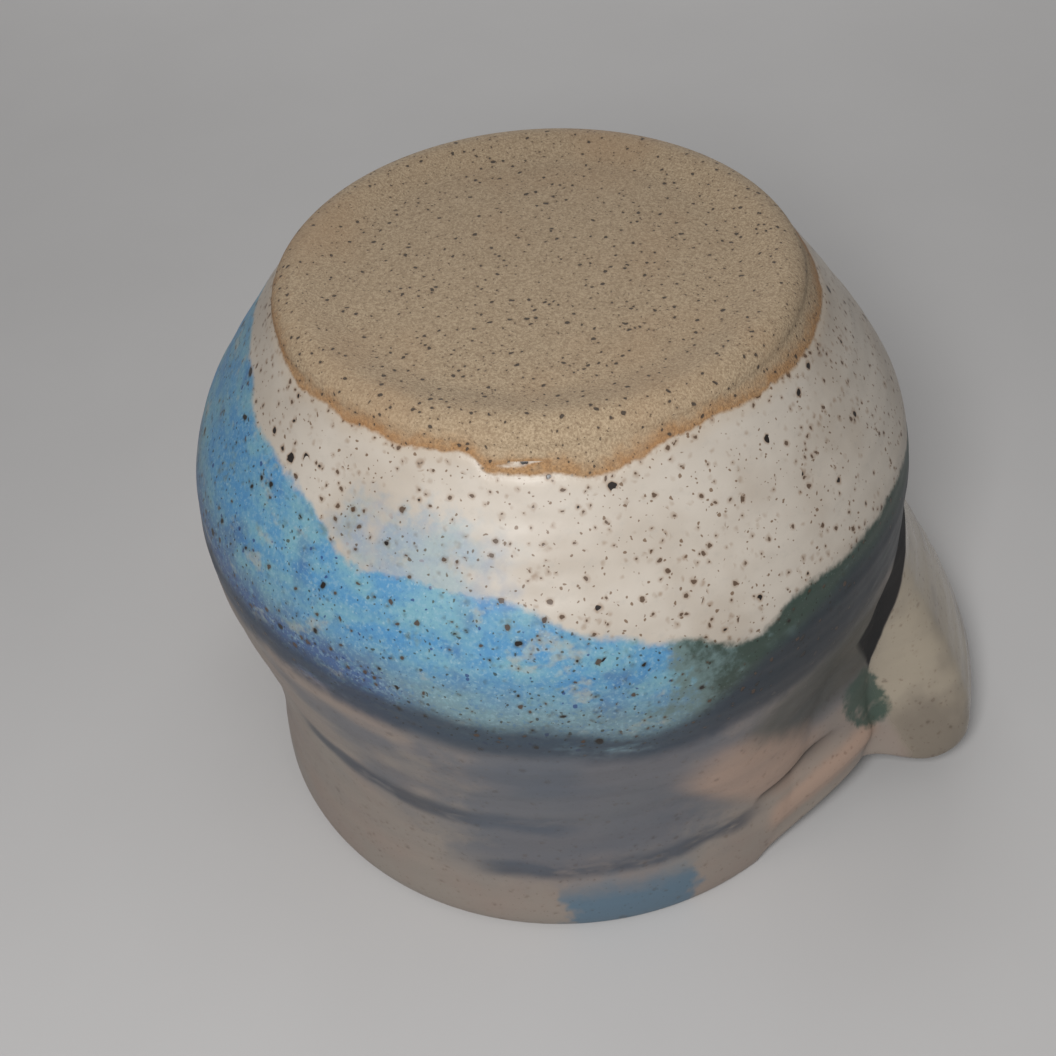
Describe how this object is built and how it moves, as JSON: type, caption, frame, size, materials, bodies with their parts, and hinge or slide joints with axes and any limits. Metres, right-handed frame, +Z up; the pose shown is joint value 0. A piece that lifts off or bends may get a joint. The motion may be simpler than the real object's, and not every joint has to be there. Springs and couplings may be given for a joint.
{
  "type": "stoneware pitcher",
  "caption": "Squat hand-thrown stoneware pitcher with a round belly, a wide neck, a wide pulled spout with a hanging lip, and a strap handle, stored upside down on its rim.",
  "frame": {"origin": "on the plane of the rim that the pitcher stands on, under the middle of its outline", "axes": "+Z up, out of the foot, because the pitcher is stored upside down on its rim as pictured; +X towards the handle. The spout points to 208 degrees, counted from +X towards +Y, so it is 28 degrees off the side across from the handle. Turned by 180 degrees about X the pitcher stands on its foot."},
  "size_m": [0.1654, 0.1276, 0.11],
  "materials": {
    "white_glaze": "glossy off-white glaze with iron specks, blue and green brushed bands",
    "cream_glaze": "glossy cream to grey glaze with few specks",
    "bare_clay": "bare fired stoneware, matt, speckled"
  },
  "bodies": {
    "root": {"thrown_body": "white_glaze", "neck_joint_pad": "cream_glaze", "belly_joint_pad": "cream_glaze", "handle_strap": "cream_glaze"}
  },
  "joints": []
}
